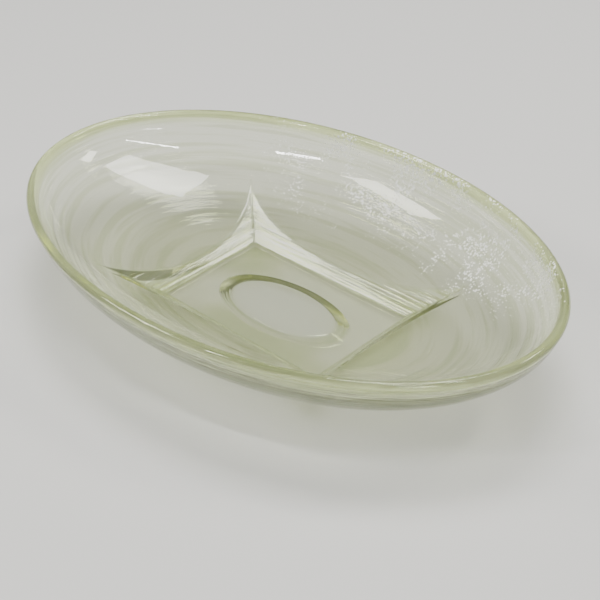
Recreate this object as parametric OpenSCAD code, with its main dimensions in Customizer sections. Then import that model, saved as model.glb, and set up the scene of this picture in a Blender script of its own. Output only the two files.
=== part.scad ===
// Oval pressed-glass dish, one rigid pressing, drawn as six zones that meet face to face.
// Frame: X along the oval, Y across it, Z up. The origin is under the middle of the foot,
// on the surface that the dish stands on. Millimetres and degrees.

/* [Bowl] */
// Length of the oval over the rim
dish_length = 260; // [240:2:290]
// Width of the oval over the rim
dish_width = 156; // [150:2:170]
// Height from the table to the top of the rim
dish_height = 44; // [43:0.5:46]
// Thickness of the wall, measured level across the rim
wall = 3.9; // [3.4:0.1:4.4]
// Thickness that the glass would have at the middle if the bowl had no well
bowl_base = 6.3; // [6:0.1:6.8]

/* [Well] */
// Length of the flat floor
floor_length = 88; // [84:1:92]
// Width of the flat floor
floor_width = 51; // [48:1:54]
// Thickness of the glass under the floor
floor_thick = 5; // [4.6:0.1:5.4]
// Slope of the two long facets above level
side_slope = 40.5; // [40:0.5:43]
// Slope of the two short facets above level
end_slope = 38; // [38:0.5:40]
// Thickness of the glass behind the facets, measured square to them
facet_wall = 4; // [3.6:0.1:4.4]

/* [Rim] */
// Depth of the rounded rim zone below the top
rim_depth = 4.5; // [4:0.5:7]
// How far the rim stands out past the wall below it
rim_proud = 0.5; // [0.3:0.1:0.8]

/* [Foot hollow] */
// Length of the oval hollow under the floor
hollow_length = 70; // [50:1:74]
// Width of the oval hollow under the floor
hollow_width = 34; // [24:1:36]
// Depth of the oval hollow at its middle
hollow_depth = 2.8; // [1:0.1:3]

/* [Hidden] */

glass_pale = [0.86, 0.92, 0.72, 0.55];
glass_deep = [0.78, 0.88, 0.55, 0.65];

// Steps round the rim, and along the half circle that rounds its top.
rim_steps = 96;
top_steps = 8;
// Turn of an oval body's seam line from the long axis.
seam_turn = 20;
// A solid that only cuts reaches this far past what it cuts.
clear = 40;

rim_base = dish_height - rim_depth;

// Half axes of the oval bodies, all centred at the height of the rim.
outer_half = [dish_length / 2 - rim_proud, dish_width / 2 - rim_proud, dish_height];
inner_half = [dish_length / 2 - wall, dish_width / 2 - wall, dish_height - bowl_base];

// The well inside: a four-sided hopper that opens upward from the floor.
well_floor_half = [floor_length / 2, floor_width / 2];
well_lean = [1 / tan(end_slope), 1 / tan(side_slope)];
well_top = floor_thick + 17;

// The foot outside has the same four slopes, set out by the glass behind the facets.
foot_half = [
    well_floor_half[0] + facet_wall / sin(end_slope) - floor_thick * well_lean[0],
    well_floor_half[1] + facet_wall / sin(side_slope) - floor_thick * well_lean[1]
];
foot_top = 16;

// A solid with a level rectangle at each end and four flat leaning sides.
module hopper(half, lean, low, high) {
    rise = high - low;
    top = [half[0] + lean[0] * rise, half[1] + lean[1] * rise];
    polyhedron(
        points = concat(
            [for (s = [[-1, -1], [1, -1], [1, 1], [-1, 1]]) [s[0] * half[0], s[1] * half[1], low]],
            [for (s = [[-1, -1], [1, -1], [1, 1], [-1, 1]]) [s[0] * top[0], s[1] * top[1], high]]
        ),
        faces = [[0, 1, 2, 3], [7, 6, 5, 4], [4, 5, 1, 0], [5, 6, 2, 1], [6, 7, 3, 2], [7, 4, 0, 3]]
    );
}

// A whole oval body, centred at the height of the rim. It is turned before it is stretched,
// so that its seam line keeps off the planes that part the zones.
module oval_body(half) {
    translate([0, 0, dish_height]) scale(half) rotate([0, 0, seam_turn]) sphere(r = 1, $fn = 96);
}

// The outside of the dish up to the rim zone: the oval body and the foot together.
module dish_outside() {
    intersection() {
        oval_body(outer_half);
        translate([-dish_length, -dish_width, 0]) cube([2 * dish_length, 2 * dish_width, rim_base]);
    }
    hopper(foot_half, well_lean, 0, foot_top);
}

// The space inside the dish: the oval bowl and the well together.
module dish_inside() {
    oval_body(inner_half);
    hopper(well_floor_half, well_lean, floor_thick, well_top);
}

module dish_glass() {
    difference() {
        dish_outside();
        dish_inside();
    }
}

// The part of the glass that stands over an outline on the table.
module glass_over(outline) {
    intersection() {
        dish_glass();
        translate([0, 0, -clear]) linear_extrude(dish_height + 2 * clear) polygon(outline);
    }
}

// The zones are parted along the foot's edges and along the four creases.
crease_reach = [dish_width * well_lean[0], dish_width * well_lean[1]];

// Outline of one long side, on the side given by 1 or -1.
function side_outline(s) = [
    [-foot_half[0], s * foot_half[1]],
    [foot_half[0], s * foot_half[1]],
    [foot_half[0] + crease_reach[0], s * (foot_half[1] + crease_reach[1])],
    [-foot_half[0] - crease_reach[0], s * (foot_half[1] + crease_reach[1])]
];

// Outline of one end, on the side given by 1 or -1.
function end_outline(s) = [
    [s * foot_half[0], -foot_half[1]],
    [s * foot_half[0], foot_half[1]],
    [s * (foot_half[0] + crease_reach[0]), foot_half[1] + crease_reach[1]],
    [s * (foot_half[0] + crease_reach[0]), -foot_half[1] - crease_reach[1]]
];

// Half axes of an oval body's level section at height z.
function section_at(half, z) =
    let (shrink = sqrt(1 - pow((dish_height - z) / half[2], 2))) [half[0] * shrink, half[1] * shrink];

// The rim's section, from the outer foot of the zone over the rounded top to the inner foot.
// Each entry is [half axis along X, half axis along Y, height].
top_radius = wall / 2;
rim_section = concat(
    [[section_at(outer_half, rim_base)[0], section_at(outer_half, rim_base)[1], rim_base]],
    [for (i = [0:top_steps])
        let (a = 180 * i / top_steps, inset = top_radius * (1 - cos(a)))
        [dish_length / 2 - inset, dish_width / 2 - inset, dish_height - top_radius * (1 - sin(a))]],
    [[section_at(inner_half, rim_base)[0], section_at(inner_half, rim_base)[1], rim_base]]
);

module rim() {
    n = len(rim_section);
    color(glass_deep) polyhedron(
        points = [for (i = [0:rim_steps - 1]) let (a = 360 * i / rim_steps)
            for (p = rim_section) [p[0] * cos(a), p[1] * sin(a), p[2]]],
        faces = [for (i = [0:rim_steps - 1]) for (j = [0:n - 1])
            let (k = (i + 1) % rim_steps, m = (j + 1) % n)
            [i * n + j, i * n + m, k * n + m, k * n + j]]
    );
}

module side_wall_front() {
    color(glass_pale) glass_over(side_outline(-1));
}

module side_wall_back() {
    color(glass_pale) glass_over(side_outline(1));
}

module end_wall_left() {
    color(glass_pale) glass_over(end_outline(-1));
}

module end_wall_right() {
    color(glass_pale) glass_over(end_outline(1));
}

// The flat floor of the well, with the shallow oval hollow under it.
module well_floor() {
    color(glass_deep) difference() {
        glass_over([
            [-foot_half[0], -foot_half[1]], [foot_half[0], -foot_half[1]],
            [foot_half[0], foot_half[1]], [-foot_half[0], foot_half[1]]
        ]);
        scale([hollow_length / 2, hollow_width / 2, hollow_depth]) sphere(r = 1, $fn = 96);
    }
}

rim();
side_wall_front();
side_wall_back();
end_wall_left();
end_wall_right();
well_floor();
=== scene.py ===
# Oval pressed-glass dish: one continuous pressing of pale yellow-green glass with a flat
# rectangular well, four creases running up the bowl, a rolled rim and an oval hollow underneath.
# Metres. X along the oval, Y across it, Z up, origin under the middle of the foot.
from collections import namedtuple
import math
import bpy
from mathutils import Matrix, Vector


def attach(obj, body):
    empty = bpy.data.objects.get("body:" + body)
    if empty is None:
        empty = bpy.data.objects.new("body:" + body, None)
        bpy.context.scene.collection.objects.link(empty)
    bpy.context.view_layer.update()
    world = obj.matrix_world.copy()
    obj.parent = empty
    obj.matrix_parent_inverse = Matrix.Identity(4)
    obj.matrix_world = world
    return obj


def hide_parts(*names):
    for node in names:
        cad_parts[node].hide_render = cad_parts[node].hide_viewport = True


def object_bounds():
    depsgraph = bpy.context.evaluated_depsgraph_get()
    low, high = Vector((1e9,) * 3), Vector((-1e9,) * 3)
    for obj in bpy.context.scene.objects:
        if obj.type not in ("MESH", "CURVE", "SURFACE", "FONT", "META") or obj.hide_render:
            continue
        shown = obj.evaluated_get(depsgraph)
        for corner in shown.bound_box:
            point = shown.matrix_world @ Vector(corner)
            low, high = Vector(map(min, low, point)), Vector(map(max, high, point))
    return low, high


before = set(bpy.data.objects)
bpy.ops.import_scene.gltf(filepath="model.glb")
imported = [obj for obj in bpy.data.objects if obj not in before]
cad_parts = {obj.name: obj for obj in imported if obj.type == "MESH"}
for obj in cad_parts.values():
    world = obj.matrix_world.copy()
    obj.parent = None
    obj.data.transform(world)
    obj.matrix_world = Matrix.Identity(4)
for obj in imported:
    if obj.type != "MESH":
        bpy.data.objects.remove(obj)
cad_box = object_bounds()

MM = 0.001

# Overall size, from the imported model.
HALF_LENGTH = cad_box[1].x
HALF_WIDTH = cad_box[1].y
HEIGHT = cad_box[1].z
LENGTH = 2 * HALF_LENGTH

# The glass.
WALL = 3.9 * MM
BOWL_BASE = 6.3 * MM
FLOOR_THICK = 5.0 * MM
RIM_PROUD = 0.5 * MM

# The well and the foot share the same four slopes.
WELL_HALF = (44.0 * MM, 25.5 * MM)
FOOT_HALF = (44.1 * MM, 25.8 * MM)
LEAN = (1 / math.tan(math.radians(37.5)), 1 / math.tan(math.radians(40.0)))

# Height at which the facets run out into the bowl, inside and outside, and how fast they lift away.
WELL_TIP = 21.0 * MM
FOOT_TIP = 14.5 * MM
TIP_LIFT = 0.5 / MM

# Softness of the pressed edges: the height over which one face melts into the next.
CREASE_SOFT = 0.7 * MM
FLOOR_EDGE_SOFT = 0.8 * MM
ARC_SOFT = 1.2 * MM
TIP_SOFT = 0.25 * MM

# The rolled rim.
ROLL = 2.01 * MM
ROLL_START = math.radians(8.0)
ROLL_END = math.radians(212.0)
BEAD_FOOT = 39.4 * MM

# The glass is painted deeper in colour from here up to the top of the rim, a painted refraction
# colour for light bent through the rolled bead.
PAINTED_RIM_FROM = 38.0 * MM
PAINTED_RIM_SPAN = 4.0 * MM

# The oval hollow pressed into the underside.
HOLLOW_HALF = (35.0 * MM, 17.0 * MM)
HOLLOW_DEPTH = 2.8 * MM
HOLLOW_WALL = 6.0 * MM
HOLLOW_SOFT = 0.7 * MM
# How strongly the middle of the hollow's wall takes the painted refraction colour and lines of the
# facets, and their relief, so that the hollow's ring shows all round.
HOLLOW_PAINTED_REFRACTION = 0.9

# Oval bodies are centred at the height of the rim.
INNER = (HALF_LENGTH - WALL, HALF_WIDTH - WALL, HEIGHT - BOWL_BASE)
OUTER = (HALF_LENGTH - RIM_PROUD, HALF_WIDTH - RIM_PROUD, HEIGHT)

# A pressed skin: its oval body, the rectangle of its level face, that face's height, and
# the height at which its facets run out.
Skin = namedtuple("Skin", "oval level base tip")
INSIDE = Skin(INNER, WELL_HALF, FLOOR_THICK, WELL_TIP)
OUTSIDE = Skin(OUTER, FOOT_HALF, 0.0, FOOT_TIP)

# Spokes between two creases, the turn at which a crease meets the rim, and how strongly the
# spokes gather toward the creases.
SIDE_SPOKES = 92
END_SPOKES = 72
CREASE_ANGLE = math.radians(51.0)
CORNER_CLUSTER = 0.85

# Stations along a spoke, one count for each stretch of the glass.
FLOOR_STATIONS = 9
EDGE_STATIONS = 8
FACET_STATIONS = 6
ARC_STATIONS = 12
BOWL_STATIONS = 36
RIM_STATIONS = 22
NECK_STATIONS = 7
FOOT_STATIONS = 3
LIP_STATIONS = 4
HOLLOW_WALL_STATIONS = 14
HOLLOW_ROOF_STATIONS = 10

# How far the close stations reach on each side of a floor edge and of an arc.
EDGE_REACH = 1.3 * MM
ARC_REACH = 2.3 * MM
ARC_REACH_LIMIT = 0.45

# The last station on the level floor, and the first one on the foot, as shares of the rectangle.
FLOOR_LAST = 0.955
FOOT_FIRST = 0.94

# Places inside the hollow, as shares of the way from its middle to its lip.
LIP_OUTSIDE = 1.03
LIP_INSIDE = 0.97
HOLLOW_LEVEL = 0.72
HOLLOW_MIDDLE = 0.06

# How strongly the neck under the bead keeps to the directions of the bead and of the wall.
NECK_PULL = 0.55

# Points closer than this are one point.
SAME_POINT = 0.0005 * MM

# The glass itself: how far it bends light, how deep its tint is and how faintly it glows.
REFRACTION = 1.5
TINT_DENSITY = 16.0
GLOW_STRENGTH = 0.009

# Patterns on the glass, as repeats in a metre along each axis.
STREAKS = (12, 12, 520)
FINE_STREAKS = (14, 14, 1150)
WAVES = (60, 60, 60)
PATCHES = (60, 60, 60)
SPECKS = (1000, 1000, 1000)
# Limits of the streak noise where refraction lines are painted into the colour.
PAINTED_LINE_FROM = 0.47
PAINTED_LINE_TO = 0.58

# How strongly each stretch of the glass takes the painted refraction colour, and the outside the
# painted refraction lines, from 0 to 1.
PAINTED_REFRACTION_EDGE_ON = 0.7
PAINTED_REFRACTION_FACET = 0.45
PAINTED_REFRACTION_OUTSIDE = 0.22
PAINTED_LINES_OUTSIDE = 0.60

# How much less light comes through glass under the painted refraction colour and through a speck.
PAINTED_REFRACTION_VEIL = 0.24
SPECK_VEIL = 0.75

# Roughness of polished glass and of a speck.
POLISHED = 0.015
DRIED = 0.6

# Relief, as shares of its full depth.
RELIEF_DEPTH = 0.5 * MM
RELIEF_STRENGTH = 0.5
OUTSIDE_RELIEF = 1.3
INSIDE_RELIEF = 0.08
FACET_RELIEF = 0.5
WAVE_RELIEF = 0.5
SPECK_RELIEF = 0.15

# Colours of the glass, of its painted refraction colour and painted refraction lines, of its specks
# and of the card under it.
DEPTH_TINT = (0.96, 1.0, 0.10, 1)
GLOW = (0.85, 1.0, 0.30, 1)
CLEAR_BODY = (0.99, 1.0, 0.975, 1)
PAINTED_REFRACTION_BODY = (0.88, 0.96, 0.54, 1)
PAINTED_LINE_GREEN = (0.56, 0.64, 0.30, 1)
SPECK_WHITE = (0.97, 0.97, 0.96, 1)
PALE_CARD = (0.60, 0.595, 0.58, 1)


def soft_max(a, b, soft):
    """The higher of two heights, melted together where they are close."""
    near = max(soft - abs(a - b), 0.0) / soft
    return max(a, b) + near ** 3 * soft / 6


def soft_min(a, b, soft):
    """The lower of two heights, melted together where they are close."""
    near = max(soft - abs(a - b), 0.0) / soft
    return min(a, b) - near ** 3 * soft / 6


def oval_height(half, x, y):
    """Height of an oval body's underside over a point of the plan."""
    reach = (x / half[0]) ** 2 + (y / half[1]) ** 2
    return HEIGHT - half[2] * math.sqrt(max(0.0, 1.0 - reach))


def facet_height(skin, x, y):
    """Height of the four leaning facets and the level face between them."""
    end = skin.base + (abs(x) - skin.level[0]) / LEAN[0]
    side = skin.base + (abs(y) - skin.level[1]) / LEAN[1]
    height = soft_max(soft_max(end, side, CREASE_SOFT), skin.base, FLOOR_EDGE_SOFT)
    over = max(0.0, height - skin.tip)
    return height + TIP_LIFT * over * over


def skin_height(skin, x, y):
    """Height of a pressed skin: the oval bowl, or the facets where they lie lower.

    The arc between them is soft low down and sharpens toward the tips of the creases."""
    facet = facet_height(skin, x, y)
    climb = min(1.0, max(0.0, (facet - skin.base) / (skin.tip - skin.base)))
    soft = ARC_SOFT + (TIP_SOFT - ARC_SOFT) * climb
    return soft_min(oval_height(skin.oval, x, y), facet, soft)


def facet_share(skin, x, y):
    """How much of the skin here is leaning facet, from 0 on bowl or level face to 1."""
    facet = facet_height(skin, x, y)
    below_bowl = (oval_height(skin.oval, x, y) - facet) / ARC_SOFT
    above_level = (facet - skin.base) / ARC_SOFT
    return max(0.0, min(1.0, below_bowl + 0.4, above_level))


def hollow_rise(x, y):
    """How far the underside is pressed up inside the oval hollow."""
    share = math.hypot(x / HOLLOW_HALF[0], y / HOLLOW_HALF[1])
    if share >= 1.0:
        return 0.0
    inside = (1.0 - share) * (HOLLOW_HALF[0] + HOLLOW_HALF[1]) / 2
    wall = soft_min(HOLLOW_DEPTH * inside / HOLLOW_WALL, HOLLOW_DEPTH, HOLLOW_SOFT)
    return max(0.0, wall)


def sector_shares(count):
    """Places along one side, from 0 to 1, gathered toward its two corners."""
    shares = []
    for i in range(count):
        even = i / count
        gathered = (1 - math.cos(math.pi * even)) / 2
        shares.append((1 - CORNER_CLUSTER) * even + CORNER_CLUSTER * gathered)
    return shares


def spokes():
    """One pair for each spoke, round the dish: its place on the edge of the unit rectangle
    in the middle, and its turn at the rim."""
    corners = [(1, -1), (1, 1), (-1, 1), (-1, -1)]
    angles = [-CREASE_ANGLE, CREASE_ANGLE, math.pi - CREASE_ANGLE, math.pi + CREASE_ANGLE]
    angles.append(2 * math.pi - CREASE_ANGLE)
    counts = [END_SPOKES, SIDE_SPOKES, END_SPOKES, SIDE_SPOKES]
    made = []
    for k in range(4):
        here = corners[k]
        there = corners[(k + 1) % 4]
        for share in sector_shares(counts[k]):
            edge = (here[0] + (there[0] - here[0]) * share, here[1] + (there[1] - here[1]) * share)
            made.append((edge, angles[k] + (angles[k + 1] - angles[k]) * share))
    return made


def arc_place(skin, start, end):
    """Share of the way from start to end at which the facet meets the bowl."""
    low = 0.0
    high = 1.0
    for _ in range(40):
        middle = (low + high) / 2
        x = start[0] + (end[0] - start[0]) * middle
        y = start[1] + (end[1] - start[1]) * middle
        if facet_height(skin, x, y) < oval_height(skin.oval, x, y):
            low = middle
        else:
            high = middle
    return (low + high) / 2


def band(low, high, count):
    """Even places from low to high, without high."""
    return [low + (high - low) * i / count for i in range(count)]


def wall_line(skin, edge, brink):
    """Points of one spoke over a pressed surface, from the level face's edge to the brink."""
    start = (skin.level[0] * edge[0], skin.level[1] * edge[1])
    run = math.dist(start, brink)
    arc = arc_place(skin, start, brink)
    edge_band = EDGE_REACH / run
    arc_band = min(ARC_REACH / run, ARC_REACH_LIMIT * arc)
    places = band(-edge_band, edge_band, EDGE_STATIONS)
    places += band(edge_band, arc - arc_band, FACET_STATIONS)
    places += band(arc - arc_band, arc + arc_band, ARC_STATIONS)
    bowl_start = arc + arc_band
    for i in range(BOWL_STATIONS + 1):
        climb = math.sin(math.pi / 2 * i / BOWL_STATIONS)
        places.append(bowl_start + (1.0 - bowl_start) * climb)
    line = []
    for place in places:
        x = start[0] + (brink[0] - start[0]) * place
        y = start[1] + (brink[1] - start[1]) * place
        line.append((x, y, skin_height(skin, x, y), facet_share(skin, x, y)))
    return line


def oval_brink(oval, level, angle):
    """Plan point where an oval body reaches a level, at a rim angle."""
    shrink = math.sqrt(1.0 - ((HEIGHT - level) / oval[2]) ** 2)
    return (oval[0] * shrink * math.cos(angle), oval[1] * shrink * math.sin(angle))


def rim_point(angle, out, z):
    """A point of the rim, out from the middle line of its roll."""
    x = (HALF_LENGTH - ROLL + out) * math.cos(angle)
    y = (HALF_WIDTH - ROLL + out) * math.sin(angle)
    return (x, y, z, 0.0)


def rim_line(angle):
    """Points of one spoke over the rolled rim, from inside to outside, and under its bead."""
    line = []
    for i in range(RIM_STATIONS + 1):
        turn = ROLL_START + (ROLL_END - ROLL_START) * i / RIM_STATIONS
        line.append(rim_point(angle, -ROLL * math.cos(turn), HEIGHT - ROLL + ROLL * math.sin(turn)))
    bead_end = Vector(line[-1][:3])
    landing = Vector((*oval_brink(OUTER, BEAD_FOOT, angle), BEAD_FOOT))
    lower = BEAD_FOOT - 1.0 * MM
    below = Vector((*oval_brink(OUTER, lower, angle), lower))
    pull = (landing - bead_end).length * NECK_PULL
    first_pull = bead_end + (bead_end - Vector(line[-2][:3])).normalized() * pull
    second_pull = landing + (landing - below).normalized() * pull
    for i in range(1, NECK_STATIONS):
        t = i / NECK_STATIONS
        s = 1 - t
        point = bead_end * s ** 3 + first_pull * 3 * s * s * t
        point += second_pull * 3 * s * t * t + landing * t ** 3
        line.append((*point, 0.0))
    return line


def floor_line(edge):
    """Points of one spoke over the level floor of the well, from its middle."""
    line = []
    for share in band(0.0, FLOOR_LAST, FLOOR_STATIONS)[1:]:
        x = WELL_HALF[0] * edge[0] * share
        y = WELL_HALF[1] * edge[1] * share
        line.append((x, y, skin_height(INSIDE, x, y), 0.0))
    return line


def foot_line(edge):
    """Points of one spoke over the underside, from the foot's edge to the hollow's middle."""
    corner = (FOOT_HALF[0] * edge[0], FOOT_HALF[1] * edge[1])
    lip = 1.0 / math.hypot(corner[0] / HOLLOW_HALF[0], corner[1] / HOLLOW_HALF[1])
    shares = band(FOOT_FIRST, lip * LIP_OUTSIDE, FOOT_STATIONS)
    shares += band(lip * LIP_OUTSIDE, lip * LIP_INSIDE, LIP_STATIONS)
    shares += band(lip * LIP_INSIDE, lip * HOLLOW_LEVEL, HOLLOW_WALL_STATIONS)
    shares += band(lip * HOLLOW_LEVEL, lip * HOLLOW_MIDDLE, HOLLOW_ROOF_STATIONS)
    line = []
    for share in shares:
        x = corner[0] * share
        y = corner[1] * share
        rise = hollow_rise(x, y)
        climbed = rise / HOLLOW_DEPTH
        # The hollow's wall carries a share of the facets' painted refraction colour.
        line.append((x, y, rise, HOLLOW_PAINTED_REFRACTION * 4 * climbed * (1 - climbed)))
    return line


def spoke_line(edge, angle):
    """Every point of one spoke, from the top of the floor over the rim to the underside.

    Each point is x, y, z and how much of the skin there is leaning facet or hollow wall."""
    inner_brink = oval_brink(INNER, HEIGHT - ROLL + ROLL * math.sin(ROLL_START), angle)
    outer_brink = oval_brink(OUTER, BEAD_FOOT, angle)
    line = floor_line(edge)
    line += wall_line(INSIDE, edge, inner_brink)[:-1]
    line += rim_line(angle)
    line += wall_line(OUTSIDE, edge, outer_brink)[::-1]
    line += foot_line(edge)
    return line


def deselect_all():
    """Leaves edit mode and clears the selection."""
    if bpy.context.object and bpy.context.object.mode != "OBJECT":
        bpy.ops.object.mode_set(mode="OBJECT")
    bpy.ops.object.select_all(action="DESELECT")


def press_dish():
    """The whole dish as one closed skin: a sheet of spokes and stations, pressed to shape."""
    lines = [spoke_line(edge, angle) for edge, angle in spokes()]
    around = len(lines)
    along = len(lines[0])
    rim_top = max(range(along), key=lambda station: lines[0][station][2])
    deselect_all()
    bpy.ops.mesh.primitive_grid_add(x_subdivisions=around, y_subdivisions=along - 1, size=2)
    dish = bpy.context.object
    dish.name = "dish_glass"
    dish.data.name = "dish_glass"
    inner_skin = dish.data.attributes.new("inner_skin", "FLOAT", "POINT")
    facet = dish.data.attributes.new("facet", "FLOAT", "POINT")
    rim = dish.data.attributes.new("rim", "FLOAT", "POINT")
    for vertex in dish.data.vertices:
        spoke = round((vertex.co.x + 1) / 2 * around) % around
        station = round((vertex.co.y + 1) / 2 * (along - 1))
        point = lines[spoke][station]
        vertex.co = point[:3]
        facet.data[vertex.index].value = point[3]
        inner_skin.data[vertex.index].value = 1.0 if station < rim_top else 0.0
        # The rim's share of the painted refraction colour, rising up the bead.
        climb = (point[2] - PAINTED_RIM_FROM) / PAINTED_RIM_SPAN
        rim.data[vertex.index].value = min(1.0, max(0.0, climb))
    bpy.ops.object.mode_set(mode="EDIT")
    bpy.ops.mesh.select_all(action="SELECT")
    bpy.ops.mesh.remove_doubles(threshold=SAME_POINT)
    bpy.ops.mesh.select_all(action="DESELECT")
    bpy.ops.mesh.select_mode(type="EDGE")
    bpy.ops.mesh.select_non_manifold()
    bpy.ops.mesh.edge_face_add()
    bpy.ops.object.mode_set(mode="OBJECT")
    close_poles(dish)
    bpy.ops.object.mode_set(mode="EDIT")
    bpy.ops.mesh.select_all(action="SELECT")
    bpy.ops.mesh.normals_make_consistent(inside=False)
    bpy.ops.object.mode_set(mode="OBJECT")
    bpy.ops.object.shade_smooth()
    return dish


def close_poles(dish):
    """Turns the two many-sided faces at the middle into fans."""
    bpy.ops.object.mode_set(mode="EDIT")
    bpy.ops.mesh.select_all(action="DESELECT")
    bpy.ops.mesh.select_mode(type="FACE")
    bpy.ops.object.mode_set(mode="OBJECT")
    for face in dish.data.polygons:
        face.select = face.loop_total > 4
    bpy.ops.object.mode_set(mode="EDIT")
    bpy.ops.mesh.poke()
    bpy.ops.object.mode_set(mode="OBJECT")


def new_material(name):
    """A material with an empty node tree."""
    material = bpy.data.materials.new(name)
    material.use_nodes = True
    material.node_tree.nodes.clear()
    return material


def node(tree, kind, **values):
    """Adds a node, with its settings and its input values by name."""
    made = tree.nodes.new(kind)
    for key, value in values.items():
        if hasattr(made, key):
            setattr(made, key, value)
        else:
            made.inputs[key.replace("_", " ")].default_value = value
    return made


def stretched(tree, coordinates, scale):
    """Object coordinates, stretched along each axis."""
    mapping = node(tree, "ShaderNodeMapping")
    mapping.inputs["Scale"].default_value = scale
    tree.links.new(coordinates.outputs["Object"], mapping.inputs["Vector"])
    return mapping.outputs["Vector"]


def window(tree, value, low, high, out_low=0.0, out_high=1.0):
    """Maps a value between two limits, held at both ends."""
    step = node(tree, "ShaderNodeMapRange", clamp=True)
    step.inputs["From Min"].default_value = low
    step.inputs["From Max"].default_value = high
    step.inputs["To Min"].default_value = out_low
    step.inputs["To Max"].default_value = out_high
    tree.links.new(value, step.inputs["Value"])
    return step.outputs["Result"]


def maths(tree, operation, a, b):
    """Two values worked together. Each is a number or a socket."""
    made = node(tree, "ShaderNodeMath", operation=operation)
    for socket, value in zip(made.inputs, (a, b)):
        if isinstance(value, (int, float)):
            socket.default_value = value
        else:
            tree.links.new(value, socket)
    return made.outputs["Value"]


def product(tree, a, b):
    return maths(tree, "MULTIPLY", a, b)


def total(tree, a, b):
    return maths(tree, "ADD", a, b)


def less(tree, a, b):
    return maths(tree, "SUBTRACT", a, b)


def higher(tree, a, b):
    return maths(tree, "MAXIMUM", a, b)


def painted(tree, name):
    """A share from 0 to 1 that the mesh carries on its points."""
    return node(tree, "ShaderNodeAttribute", attribute_name=name).outputs["Fac"]


def noise(tree, coordinates, scale, detail, roughness):
    """Soft noise, stretched along each axis."""
    made = node(tree, "ShaderNodeTexNoise", noise_dimensions="3D")
    made.inputs["Scale"].default_value = 1.0
    made.inputs["Detail"].default_value = detail
    made.inputs["Roughness"].default_value = roughness
    tree.links.new(stretched(tree, coordinates, scale), made.inputs["Vector"])
    return made.outputs["Fac"]


def blended(tree, share, first, second):
    """A colour between two, by a share from 0 to 1. Each colour is a value or a socket."""
    mix = node(tree, "ShaderNodeMix", data_type="RGBA")
    tree.links.new(share, mix.inputs["Factor"])
    colours = [socket for socket in mix.inputs if socket.type == "RGBA"]
    for socket, colour in zip(colours, (first, second)):
        if isinstance(colour, tuple):
            socket.default_value = colour
        else:
            tree.links.new(colour, socket)
    return next(socket for socket in mix.outputs if socket.type == "RGBA")


def dried_specks(tree, coordinates, inner_skin):
    """Fine dried spots inside the bowl, thickest on its far right: 1 on a spot and 0 off it."""
    place = node(tree, "ShaderNodeSeparateXYZ")
    tree.links.new(coordinates.outputs["Object"], place.inputs["Vector"])
    far_side = window(tree, place.outputs["Y"], 18 * MM, 45 * MM)
    right_side = window(tree, place.outputs["X"], -85 * MM, -30 * MM)
    up_wall = window(tree, place.outputs["Z"], 12 * MM, 20 * MM)
    patches = window(tree, noise(tree, coordinates, PATCHES, 4.0, 0.5), 0.40, 0.60)
    spotted = product(tree, product(tree, far_side, right_side), up_wall)
    spotted = product(tree, product(tree, spotted, patches), inner_skin)
    spots = node(tree, "ShaderNodeTexVoronoi", feature="F1")
    spots.inputs["Scale"].default_value = 1.0
    tree.links.new(stretched(tree, coordinates, SPECKS), spots.inputs["Vector"])
    spot_size = node(tree, "ShaderNodeSeparateColor")
    tree.links.new(spots.outputs["Color"], spot_size.inputs["Color"])
    reach = total(tree, product(tree, spotted, 0.70), 0.06)
    reach = product(tree, reach, spot_size.outputs["Red"])
    return window(tree, less(tree, reach, spots.outputs["Distance"]), 0.0, 0.05)


def painted_refraction_share(tree, facet, outer_skin):
    """How strongly the glass takes the painted refraction colour, from 0 to 1: fully at the rim,
    and partly on steep walls seen edge-on, on the facets and over the outside. The colour stands in
    for light bent through the glass."""
    facing = node(tree, "ShaderNodeLayerWeight", Blend=0.5).outputs["Facing"]
    edge_on = window(tree, facing, 0.62, 0.95)
    painted_refraction = higher(tree, product(tree, edge_on, PAINTED_REFRACTION_EDGE_ON), painted(tree, "rim"))
    painted_refraction = higher(tree, painted_refraction, product(tree, facet, PAINTED_REFRACTION_FACET))
    return higher(tree, painted_refraction, product(tree, outer_skin, PAINTED_REFRACTION_OUTSIDE))


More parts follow.
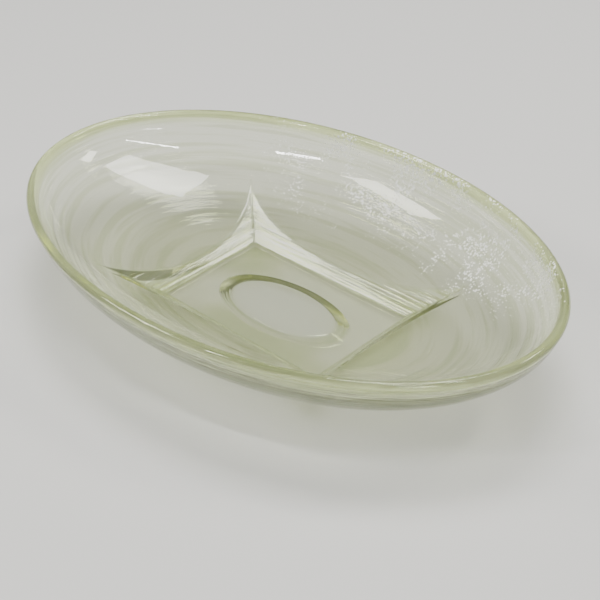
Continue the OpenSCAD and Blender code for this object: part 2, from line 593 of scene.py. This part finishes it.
def uranium_glass():
    """Nearly clear glass, tinted yellow-green by depth, with pressing streaks and dry spots, and a
    painted refraction colour and painted refraction lines.
    """
    material = new_material("pale_uranium_glass")
    tree = material.node_tree
    output = node(tree, "ShaderNodeOutputMaterial")
    glass = node(tree, "ShaderNodeBsdfPrincipled")
    glass.inputs["IOR"].default_value = REFRACTION
    glass.inputs["Transmission Weight"].default_value = 1.0
    glass.inputs["Emission Color"].default_value = GLOW
    glass.inputs["Emission Strength"].default_value = GLOW_STRENGTH
    tree.links.new(glass.outputs["BSDF"], output.inputs["Surface"])

    depth_tint = node(tree, "ShaderNodeVolumeAbsorption")
    depth_tint.inputs["Color"].default_value = DEPTH_TINT
    depth_tint.inputs["Density"].default_value = TINT_DENSITY
    tree.links.new(depth_tint.outputs["Volume"], output.inputs["Volume"])

    coordinates = node(tree, "ShaderNodeTexCoord")
    inner_skin = painted(tree, "inner_skin")
    outer_skin = less(tree, 1.0, inner_skin)
    facet = painted(tree, "facet")
    # Pressing streaks that run level round the walls, and finer ones along the facets; they shape
    # the relief and place the painted refraction lines.
    streaks = noise(tree, coordinates, STREAKS, 3.0, 0.62)
    fine_streaks = noise(tree, coordinates, FINE_STREAKS, 2.0, 0.6)
    # Slow waviness of fire-polished glass.
    waves = noise(tree, coordinates, WAVES, 1.0, 0.5)
    speck = dried_specks(tree, coordinates, inner_skin)
    # How strongly each place takes the painted refraction colour.
    painted_refraction = painted_refraction_share(tree, facet, outer_skin)

    # Colour: clear, deeper where the painted refraction colour lies, then painted refraction lines
    # along the streaks, then the specks.
    wall_painted_line = window(tree, streaks, PAINTED_LINE_FROM, PAINTED_LINE_TO)
    facet_painted_line = window(tree, fine_streaks, PAINTED_LINE_FROM, PAINTED_LINE_TO)
    painted_line_share = higher(tree, painted_refraction, product(tree, outer_skin, PAINTED_LINES_OUTSIDE))
    painted_lines = product(tree, wall_painted_line, painted_line_share)
    painted_lines = higher(tree, painted_lines, product(tree, facet_painted_line, facet))
    colour = blended(tree, painted_refraction, CLEAR_BODY, PAINTED_REFRACTION_BODY)
    colour = blended(tree, painted_lines, colour, PAINTED_LINE_GREEN)
    colour = blended(tree, speck, colour, SPECK_WHITE)
    tree.links.new(colour, glass.inputs["Base Color"])

    # Glass under the painted refraction colour and specks let less light through, and specks are
    # rough.
    clear = less(tree, 1.0, product(tree, painted_refraction, PAINTED_REFRACTION_VEIL))
    clear = less(tree, clear, product(tree, speck, SPECK_VEIL))
    tree.links.new(clear, glass.inputs["Transmission Weight"])
    tree.links.new(window(tree, speck, 0.0, 1.0, POLISHED, DRIED), glass.inputs["Roughness"])

    # Relief: the streaks are deep outside and nearly polished away inside.
    wall_depth = window(tree, inner_skin, 0.0, 1.0, OUTSIDE_RELIEF, INSIDE_RELIEF)
    wall_relief = product(tree, streaks, wall_depth)
    facet_relief = product(tree, fine_streaks, product(tree, facet, FACET_RELIEF))
    relief = total(tree, wall_relief, facet_relief)
    relief = total(tree, relief, product(tree, waves, WAVE_RELIEF))
    relief = total(tree, relief, product(tree, speck, SPECK_RELIEF))
    bump = node(tree, "ShaderNodeBump")
    bump.inputs["Strength"].default_value = RELIEF_STRENGTH
    bump.inputs["Distance"].default_value = RELIEF_DEPTH
    tree.links.new(relief, bump.inputs["Height"])
    tree.links.new(bump.outputs["Normal"], glass.inputs["Normal"])
    return material


def studio_floor():
    """The plain pale surface that the dish stands on."""
    deselect_all()
    bpy.ops.mesh.primitive_plane_add(size=6, location=(0, 0, -0.05 * MM))
    floor = bpy.context.object
    floor.name = "studio_floor"
    material = new_material("pale_card")
    tree = material.node_tree
    output = node(tree, "ShaderNodeOutputMaterial")
    card = node(tree, "ShaderNodeBsdfPrincipled")
    card.inputs["Base Color"].default_value = PALE_CARD
    card.inputs["Roughness"].default_value = 0.9
    tree.links.new(card.outputs["BSDF"], output.inputs["Surface"])
    floor.data.materials.append(material)


def soft_light(name, place, size, power, tone=(1, 1, 1)):
    """A rectangular soft lamp of the given width and height, turned toward the dish."""
    lamp = bpy.data.lights.new(name, "AREA")
    lamp.shape = "RECTANGLE"
    lamp.size = size[0]
    lamp.size_y = size[1]
    lamp.energy = power
    lamp.color = tone
    holder = bpy.data.objects.new(name, lamp)
    holder.location = place
    holder.rotation_euler = (-Vector(place)).to_track_quat("-Z", "Y").to_euler()
    bpy.context.scene.collection.objects.link(holder)
    return holder


def tube_light(name, start, end, width, power):
    """A long thin lamp between two points, facing the dish."""
    start = Vector(start)
    end = Vector(end)
    middle = (start + end) / 2
    along = (end - start).normalized()
    back = (middle - along * middle.dot(along)).normalized()
    across = back.cross(along)
    holder = soft_light(name, middle, ((end - start).length, width), power)
    turn = Matrix((along, across, back)).transposed()
    holder.matrix_world = Matrix.Translation(middle) @ turn.to_4x4()


def studio_lights():
    """One large lamp overhead, two that light the facets across the bowl, and thin tubes."""
    cream = (1.0, 0.985, 0.88)
    soft_light("overhead_softbox", (-0.10, 0.30, 1.30), (0.7, 0.45), 14, (1, 0.99, 0.97))
    soft_light("left_front_softbox", (-0.82, -0.64, 0.86), (0.40, 0.22), 5, cream)
    soft_light("right_back_softbox", (0.54, 0.70, 0.95), (0.36, 0.22), 5, cream)
    tube_light("ceiling_tube", (0.12, -0.37, 1.2), (0.95, -0.12, 1.2), 0.03, 8.0)
    tube_light("ceiling_tube_near", (-0.33, -0.94, 1.0), (-0.65, -1.26, 1.0), 0.05, 7.0)
    tube_light("side_tube", (0.62, -0.70, 0.62), (0.86, -0.52, 0.62), 0.03, 1.5)
    studio_dome()


def studio_dome():
    """A soft dome of light, brightest overhead and dim toward the horizon."""
    world = bpy.data.worlds.new("studio")
    bpy.context.scene.world = world
    world.use_nodes = True
    tree = world.node_tree
    dome = tree.nodes["Background"]
    dome.inputs["Color"].default_value = (0.92, 0.93, 0.95, 1)
    direction = node(tree, "ShaderNodeTexCoord")
    split = node(tree, "ShaderNodeSeparateXYZ")
    tree.links.new(direction.outputs["Generated"], split.inputs["Vector"])
    strength = window(tree, split.outputs["Z"], 0.02, 0.80, 0.17, 0.45)
    tree.links.new(strength, dome.inputs["Strength"])


def studio_camera():
    """Looks down at the dish from the front right, turned a little about its own line of sight."""
    azimuth = math.radians(47.57)
    elevation = math.radians(34.47)
    roll = math.radians(-4.31)
    aim = Vector((0.0830 * LENGTH, -0.0377 * LENGTH, 0.0858 * LENGTH))
    distance = 2.057 * LENGTH
    back = Vector((
        math.sin(azimuth) * math.cos(elevation),
        -math.cos(azimuth) * math.cos(elevation),
        math.sin(elevation),
    ))
    data = bpy.data.cameras.new("camera")
    data.sensor_width = 36
    data.lens = 82.07
    data.clip_start = 0.01
    data.clip_end = 50
    camera = bpy.data.objects.new("camera", data)
    bpy.context.scene.collection.objects.link(camera)
    right = Vector((0, 0, 1)).cross(back).normalized()
    up = back.cross(right)
    turned_right = right * math.cos(roll) + up * math.sin(roll)
    turned_up = up * math.cos(roll) - right * math.sin(roll)
    turn = Matrix((turned_right, turned_up, back)).transposed()
    camera.matrix_world = Matrix.Translation(aim + back * distance) @ turn.to_4x4()
    bpy.context.scene.camera = camera


dish = press_dish()
dish.data.materials.append(uranium_glass())
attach(dish, "root")
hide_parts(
    "rim", "side_wall_front", "side_wall_back", "end_wall_left", "end_wall_right", "well_floor"
)

studio_floor()
studio_lights()
studio_camera()
